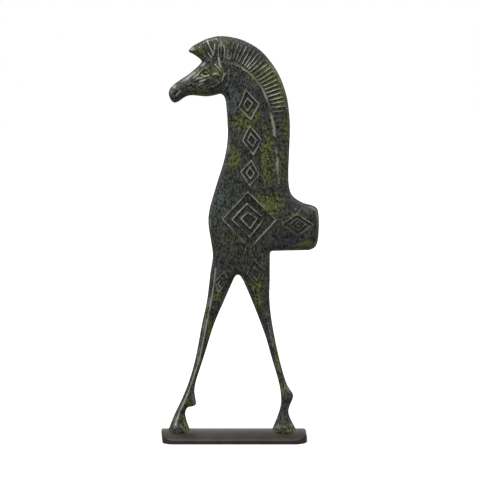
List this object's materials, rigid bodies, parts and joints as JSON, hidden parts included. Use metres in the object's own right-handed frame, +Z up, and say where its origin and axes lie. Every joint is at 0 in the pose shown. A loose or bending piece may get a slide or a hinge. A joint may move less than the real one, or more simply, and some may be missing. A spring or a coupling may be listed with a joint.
{
  "type": "bronze half-horse sculpture",
  "caption": "Slender flat-cast bronze half-horse with long forelegs, cut-off rump, arched ribbed mane and raised lozenges, on a low domed plinth.",
  "frame": {"origin": "middle of the plinth's flat underside", "axes": "+Z up, the head towards -X, the side shown in the picture towards -Y"},
  "size_m": [0.1169, 0.03, 0.3],
  "materials": {
    "figure_bronze": "dark cast bronze with mottled green patina, raised lines rubbed light",
    "plinth_bronze": "smooth brown patinated bronze, softly glossy"
  },
  "bodies": {
    "root": {"figure": "figure_bronze", "plinth": "plinth_bronze"}
  },
  "joints": []
}
